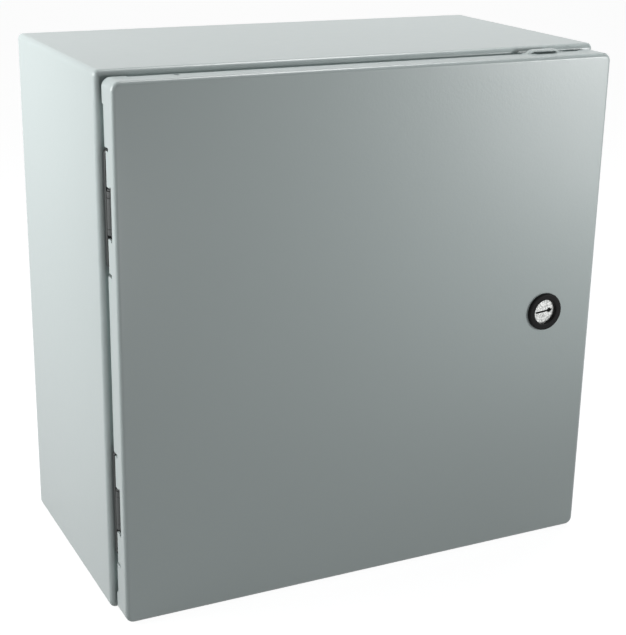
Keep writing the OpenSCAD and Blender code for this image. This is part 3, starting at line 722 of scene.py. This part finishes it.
# Seal foamed on to the door: one round bead, a little uneven along its length
def door_gasket():
    out = CABINET_W / 2 - RIM_W - SHEET / 2 + GASKET_W / 2
    crest = -DOOR_INNER + GASKET_H
    low, high = (-out, -DOOR_INNER, -out), (out, crest, out)
    bead = add_plate("door_gasket_foamed", low, high, "y", GASKET_CORNER_R)
    open_mesh(bead)
    pick_faces(bead, lambda m, n: abs(n.y) > 0.9)
    bpy.ops.mesh.inset(thickness=GASKET_W * MM)
    bpy.ops.mesh.bridge_edge_loops()
    pick_edges(bead, lambda a, b, e: both_at(a, b, 1, crest) and e.calc_face_angle(0) > 1)
    round_edges(GASKET_ROUND, 6)
    pick_edges(bead, lambda a, b, e: (a - b).length > 100)
    bpy.ops.mesh.subdivide(number_cuts=60)
    close_mesh()
    free = bead.vertex_groups.new(name="free_skin")
    free.add([v.index for v in bead.data.vertices if v.co.y / MM > -DOOR_INNER + 1], 1.0, "REPLACE")
    swell = bpy.data.textures.new("foam_swell", "CLOUDS")
    swell.noise_scale = FOAM_SWELL_L * MM
    use_modifier(bead, "DISPLACE", texture=swell, texture_coords="LOCAL", strength=FOAM_SWELL * MM,
                 mid_level=0.5, vertex_group=free.name)
    break_edges(bead)
    dress(bead, "door", "door_gasket", "seal_foam")


# Flat seal under the gland plate, cut from sheet
def gland_gasket():
    half_w, half_d = GLAND_W / 2 + GLAND_SEAT, GLAND_D / 2 + GLAND_SEAT
    sheet = add_plate("gland_gasket_cut", (-half_w, -GLAND_MID - half_d, BASE),
                      (half_w, -GLAND_MID + half_d, BASE + GLAND_GASKET_T), "z", GLAND_CORNER_R)
    holes = [add_rod("stud_hole", (x, y, BASE), "z", GLAND_STUD_HOLE, 8, 24) for x, y in gland_places()]
    cut(sheet, [cable_entry(), *holes])
    break_edges(sheet, 0.35)
    dress(sheet, "cabinet", "gland_gasket", "seal_foam")


def gland_places():
    across, deep = (GLAND_W + GLAND_SEAT) / 2, (GLAND_D + GLAND_SEAT) / 2
    return [(x, -GLAND_MID + y) for x in (-across, 0, across) for y in (-deep, deep)]


# Lock: a moulded ring and threaded barrel, and the slotted insert sunk in it
def at_lock(depth):
    return (LOCK_X, -depth, LOCK_Z)


def lock_rod(name, diameter, front, back, sides=96):
    return add_rod(name, at_lock((front + back) / 2), "y", diameter, front - back, sides)


def lock_housing():
    front = DOOR_FRONT + RING_H
    ring = lock_rod("lock_housing_moulded", RING_D, front, DOOR_FRONT)
    open_mesh(ring)
    pick_edges(ring, lambda a, b, e: both_at(a, b, 1, -front))
    round_edges(RING_ROUND, 6)
    close_mesh()
    root = DOOR_FRONT + SEAL_T + 0.3
    middle, length = at_lock((root + BARREL_BACK) / 2), root - BARREL_BACK
    barrel = add_stud("barrel", middle, "y", BARREL_D, length, BARREL_PITCH, 96)
    cut_flats(barrel, LOCK_X, BARREL_FLATS)
    groove = lock_rod("groove", SEAL_D, DOOR_FRONT + SEAL_T, DOOR_FRONT - 1)
    cut(ring, [groove])
    combine(ring, barrel, "UNION")
    head_back = front - HEAD_SUNK - HEAD_H
    recess = lock_rod("recess", HEAD_D + HEAD_PLAY, front + 1, head_back)
    bore = lock_rod("bore", SHANK_D + HEAD_PLAY / 2, front + 1, BARREL_BACK - 1)
    cut(ring, [recess, bore])
    open_mesh(ring)
    mouth = (HEAD_D + HEAD_PLAY) / 2
    pick_edges(ring, lambda a, b, e: both_at(a, b, 1, -front) and e.calc_face_angle(0) > 1
               and all(math.hypot(v.x - LOCK_X, v.z - LOCK_Z) < mouth + 0.1 for v in (a, b)))
    round_edges(RING_BEVEL, 2)
    close_mesh()
    break_edges(ring, 0.12)
    dress(ring, "door", "lock_housing", "black_polyamide")


def lock_seal():
    seal = lock_rod("lock_seal_ring", SEAL_D, DOOR_FRONT + SEAL_T, DOOR_FRONT)
    cut(seal, [lock_rod("bore", BARREL_D + 0.5, DOOR_FRONT + 3, DOOR_FRONT - 3)])
    break_edges(seal, 0.3)
    dress(seal, "door", "lock_seal", "seal_foam")


def lock_spindle():
    head_front = DOOR_FRONT + RING_H - HEAD_SUNK
    head_back = head_front - HEAD_H
    head = lock_rod("lock_spindle_slotted", HEAD_D, head_front, head_back)
    combine(head, lock_rod("shank", SHANK_D, head_back + 1, CAM_FRONT, 64), "UNION")
    half = SQUARE_W / 2
    square = add_block("square", (LOCK_X - half, -CAM_FRONT - 1, LOCK_Z - half),
                       (LOCK_X + half, -CAM_FRONT + CAM_T, LOCK_Z + half))
    combine(head, square, "UNION")
    bottom = head_front - KEY_SLOT_D
    slot = add_block("slot", (LOCK_X - KEY_SLOT_L / 2, -head_front - 1, LOCK_Z - KEY_SLOT_W / 2),
                     (LOCK_X + KEY_SLOT_L / 2, -bottom, LOCK_Z + KEY_SLOT_W / 2))
    middle = (LOCK_X + KEY_POCKET_X, -(head_front + 1 + bottom) / 2, LOCK_Z)
    pocket = add_rod("pocket", middle, "y", KEY_POCKET_D, KEY_SLOT_D + 1, 32)
    key_way = join([slot, pocket])
    axis = Matrix.Translation(Vector(at_lock(0)) * MM)
    tilt = Matrix.Rotation(math.radians(-KEY_SLOT_TILT), 4, "Y")
    key_way.data.transform(axis @ tilt @ axis.inverted())
    tapped = lock_rod("tapped", CAM_SCREW_HOLE, CAM_FRONT + CAM_SCREW_HOLE_L, CAM_FRONT - CAM_T - 1, 32)
    cut(head, [key_way, tapped])
    break_edges(head, 0.25)
    dress(head, "lock", "lock_spindle", "die_cast", "nickel_plate")
    # painted shade: the faces deep in the key slot and its pocket take the darker die-cast finish, standing
    # in for the shade that falls inside the slot
    head.data.materials.append(finishes["die_cast"])
    for face in head.data.polygons:
        depth = head_front + face.center.y / MM
        out = math.hypot(face.center.x / MM - LOCK_X, face.center.z / MM - LOCK_Z)
        if 0.4 < depth < HEAD_H - 0.4 and out < HEAD_D / 2 - 0.4:
            face.material_index = 1


# Fasteners: each is modelled once and copied to its places
def fasteners():
    panel = [(x, z) for x in (-PANEL_STUD_X, PANEL_STUD_X) for z in (-PANEL_STUD_Z, PANEL_STUD_Z)]
    gland = gland_places()
    earth = [(EARTH_X, EARTH_Y)]
    door_earth = [(-DOOR_W / 2 + DOOR_EARTH_INSET, DOOR_MID - DOOR_H / 2 + DOOR_EARTH_INSET)]
    hinge = [(LEAF_X, HINGE_MID + s * HINGE_OFF + t * LEAF_SCREW_PITCH / 2)
             for s in (-1, 1) for t in (-1, 1)]
    lock = [(LOCK_X, LOCK_Z)]
    panel_nut = -PANEL_FACE - PANEL_WASHER_T
    plate_top = BASE + GLAND_GASKET_T + GLAND_PLATE_T
    gland_nut = plate_top + GLAND_WASHER_T
    earth_nut = BASE + EARTH_WASHER_T
    door_nut = -DOOR_INNER + EARTH_WASHER_T
    cam_back = -CAM_FRONT + CAM_T
    cam_head = cam_back + CAM_WASHER_T
    hinge_head = -HINGE_SCREW_SEAT

    # node, body, places, axis, from, to, thread or outside size, pitch or bore
    studs = [
        ("panel_studs", "cabinet", panel, "y", -PANEL_STUD_END, -SHEET, 8, 1.25),
        ("gland_studs", "cabinet", gland, "z", BASE, plate_top + GLAND_STUD_OVER, 5, 0.8),
        ("earth_stud", "cabinet", earth, "z", BASE, BASE + EARTH_STUD_L, 6, 1.0),
        ("door_earth_stud", "door", door_earth, "y", -DOOR_INNER, -DOOR_INNER + EARTH_STUD_L, 6, 1.0),
    ]
    washers = [
        ("panel_washers", "cabinet", panel, "y", panel_nut, -PANEL_FACE, 16, 8.5),
        ("gland_washers", "cabinet", gland, "z", plate_top, gland_nut, 10, 5.5),
        ("earth_washer", "cabinet", earth, "z", BASE, earth_nut, 12, 6.5),
        ("door_earth_washer", "door", door_earth, "y", -DOOR_INNER, door_nut, 12, 6.5),
        ("cam_washer", "lock", lock, "y", cam_back, cam_head, 16, 6.5),
    ]
    nuts = [
        ("panel_nuts", "cabinet", panel, "y", panel_nut - PANEL_NUT_H, panel_nut, 13, 8.1),
        ("gland_nuts", "cabinet", gland, "z", gland_nut, gland_nut + GLAND_NUT_H, 8, 5.1),
        ("earth_nut", "cabinet", earth, "z", earth_nut, earth_nut + EARTH_NUT_H, 10, 6.1),
        ("door_earth_nut", "door", door_earth, "y", door_nut, door_nut + EARTH_NUT_H, 10, 6.1),
        ("lock_nut", "door", lock, "y", -DOOR_INNER, -DOOR_INNER + LOCK_NUT_H, 26, 22.1),
    ]
    screws = [
        ("hinge_screws", "cabinet", hinge, "y", hinge_head, hinge_head + HINGE_SCREW_HEAD, 8, 5),
        ("cam_screw", "lock", lock, "y", cam_head, cam_head + CAM_SCREW_HEAD, 10, 6),
    ]
    for kind, rows in (("threaded", studs), ("punched", washers), ("tapped", nuts), ("headed", screws)):
        for node, body, spots, axis, start, end, size, inner in rows:
            middle = (start + end) / 2
            places = [(u, middle, v) if axis == "y" else (u, v, middle) for u, v in spots]
            name = node + "_" + kind
            length = end - start
            if kind == "threaded":
                piece = add_stud(name, places[0], axis, size, length, inner)
            elif kind == "punched":
                piece = add_rod(name, places[0], axis, size, length, 48)
            else:
                piece = add_hexagon(name, places[0], axis, size, length)
            if kind in ("punched", "tapped"):
                cut(piece, [add_rod("bore", places[0], axis, inner, length + 2, 48)])
            if kind == "headed":
                reach = SCREW_REACH[node]
                shank = Vector(places[0]) - Vector((0, (length + reach - SHANK_SUNK) / 2, 0))
                thread = add_stud("shank", tuple(shank), axis, inner, reach + SHANK_SUNK, SCREW_PITCH)
                combine(piece, thread, "UNION")
            break_edges(piece, 0.12)
            dress(repeat(piece, places), body, node, "zinc_plate")


# Castings and cut plates: the CAD piece with its edges broken
def softened(node, body, slot, edge, finish=None):
    piece = bpy.data.objects.new(node + "_finished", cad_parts[node].data.copy())
    bpy.context.scene.collection.objects.link(piece)
    open_mesh(piece)
    bpy.ops.mesh.select_all(action="SELECT")
    bpy.ops.mesh.remove_doubles(threshold=0.001 * MM)
    bpy.ops.mesh.dissolve_limited(angle_limit=math.radians(0.5))
    close_mesh()
    break_edges(piece, edge)
    dress(piece, body, node, slot, finish)


cabinet_shell()
door_panel()
door_gasket()
gland_gasket()
lock_housing()
lock_seal()
lock_spindle()
fasteners()
for level in ("upper", "lower"):
    softened(level + "_hinge_leaf", "cabinet", "die_cast", 0.5)
    softened(level + "_hinge_bracket", "door", "die_cast", 0.4)
    softened(level + "_hinge_pin", "cabinet", "zinc_plate", 0.3, "die_cast")
softened("mounting_panel", "cabinet", "galvanised", 0.2)
softened("panel_spacers", "cabinet", "zinc_plate", 0.2)
softened("gland_plate", "cabinet", "grey_paint", 0.2)
softened("lock_cam", "lock", "zinc_plate", 0.3)

# Floor and light, in metres
FLOOR_SIZE = 30
FLOOR_GAP = 0.0005
FLOOR_LIFT = 0.955
SKY_FILL = 0.08
SPOT_SIZE = 0.045
scene = bpy.context.scene
scene.view_settings.view_transform = "Standard"

bpy.ops.object.select_all(action="DESELECT")
bpy.ops.mesh.primitive_plane_add(size=FLOOR_SIZE, location=(0, 0, cad_low.z - FLOOR_GAP))
floor = bpy.context.object
floor.name = "floor"
bpy.ops.object.transform_apply(location=True, rotation=True, scale=True)


def seen_rays(owner):
    """1 for rays that see a surface, also in a mirror or through glass, and 0 for those that light it."""
    path = add_node(owner, "ShaderNodeLightPath", {})
    seen = path.outputs["Is Camera Ray"]
    for kind in ("Is Glossy Ray", "Is Transmission Ray"):
        most = add_node(owner, "ShaderNodeMath", {0: seen, 1: path.outputs[kind]}, operation="MAXIMUM")
        seen = most.outputs[0]
    return seen


pale = bpy.data.materials.new("pale_floor")
pale.use_nodes = True
pale.node_tree.nodes.clear()
lift = add_node(pale, "ShaderNodeMath", {0: seen_rays(pale), 1: FLOOR_LIFT}, operation="MULTIPLY")
glow = add_node(pale, "ShaderNodeEmission", {"Color": (1, 1, 1, 1), "Strength": lift.outputs[0]})
matt = add_node(pale, "ShaderNodeBsdfDiffuse", {"Color": linear("#747677")})
both = add_node(pale, "ShaderNodeAddShader", {0: glow.outputs[0], 1: matt.outputs[0]})
add_node(pale, "ShaderNodeOutputMaterial", {"Surface": both.outputs[0]})
paint_with(floor, pale)

world = bpy.data.worlds.new("studio")
scene.world = world
world.use_nodes = True
world.node_tree.nodes.clear()
level = add_node(world, "ShaderNodeMapRange", {"Value": seen_rays(world), "To Min": SKY_FILL, "To Max": 1.0})
sky = add_node(world, "ShaderNodeBackground", {"Color": (1, 1, 1, 1), "Strength": level.outputs["Result"]})
add_node(world, "ShaderNodeOutputWorld", {"Surface": sky.outputs[0]})


def hang_lamp(lamp, place, aim):
    """Puts a lamp at a place in metres and turns it to a point."""
    holder = bpy.data.objects.new(lamp.name, lamp)
    scene.collection.objects.link(holder)
    holder.location = place
    holder.rotation_euler = (Vector(aim) - Vector(place)).to_track_quat("-Z", "Y").to_euler()


def add_softbox(name, place, aim, size, power):
    """A softbox of a width and height in metres."""
    lamp = bpy.data.lights.new(name, "AREA")
    lamp.shape = "RECTANGLE"
    lamp.size, lamp.size_y = size
    lamp.energy = power
    hang_lamp(lamp, place, aim)


def add_spot(name, place, aim, spread, power):
    """A spot with a soft edge, its cone given in degrees."""
    lamp = bpy.data.lights.new(name, "SPOT")
    lamp.spot_size = math.radians(spread)
    lamp.spot_blend = 1.0
    lamp.shadow_soft_size = SPOT_SIZE
    lamp.energy = power
    hang_lamp(lamp, place, aim)


add_softbox("softbox_left", (-0.68, 0.04, 0.31), (-0.19, -0.1, 0.14), (0.42, 0.42), 3.9)
add_softbox("softbox_top", (0.5, 0.15, 1.35), (0.15, -0.1, 0.19), (0.5, 0.5), 8.5)
add_softbox("softbox_right", (0.85, -1.0, -0.02), (0.15, -0.21, -0.04), (0.4, 0.3), 1.8)
add_softbox("softbox_far", (1.8, -2.0, -0.02), (0, -0.21, 0), (0.7, 0.7), 1.8)
add_softbox("softbox_low", (-0.15, -0.95, -0.10), (-0.1, -0.21, -0.12), (0.3, 0.15), 0.62)
add_spot("spot_right", (0.72, -0.95, 0.208), (0.23, -0.21, 0.22), 46, 11.6)

# Camera, as the photograph was taken: an image of 626 by 635 pixels
YAW, PITCH, ROLL = (math.radians(a) for a in (26.229, -18.859, 1.046))
FOCAL_PIXELS = 1403.49
LONG_SIDE = 635
CAMERA_PLACE = (-0.45087, -1.02745, 0.32864)
ahead = Vector((math.sin(YAW) * math.cos(PITCH), math.cos(YAW) * math.cos(PITCH), math.sin(PITCH)))
right = Vector((math.cos(YAW), -math.sin(YAW), 0))
up = right.cross(ahead)
right, up = math.cos(ROLL) * right + math.sin(ROLL) * up, math.cos(ROLL) * up - math.sin(ROLL) * right
view = bpy.data.cameras.new("camera")
view.sensor_width = 36
view.lens = FOCAL_PIXELS / LONG_SIDE * view.sensor_width
camera = bpy.data.objects.new("camera", view)
scene.collection.objects.link(camera)
turn = Matrix((right, up, -ahead)).transposed().to_4x4()
camera.matrix_world = Matrix.Translation(CAMERA_PLACE) @ turn
scene.camera = camera
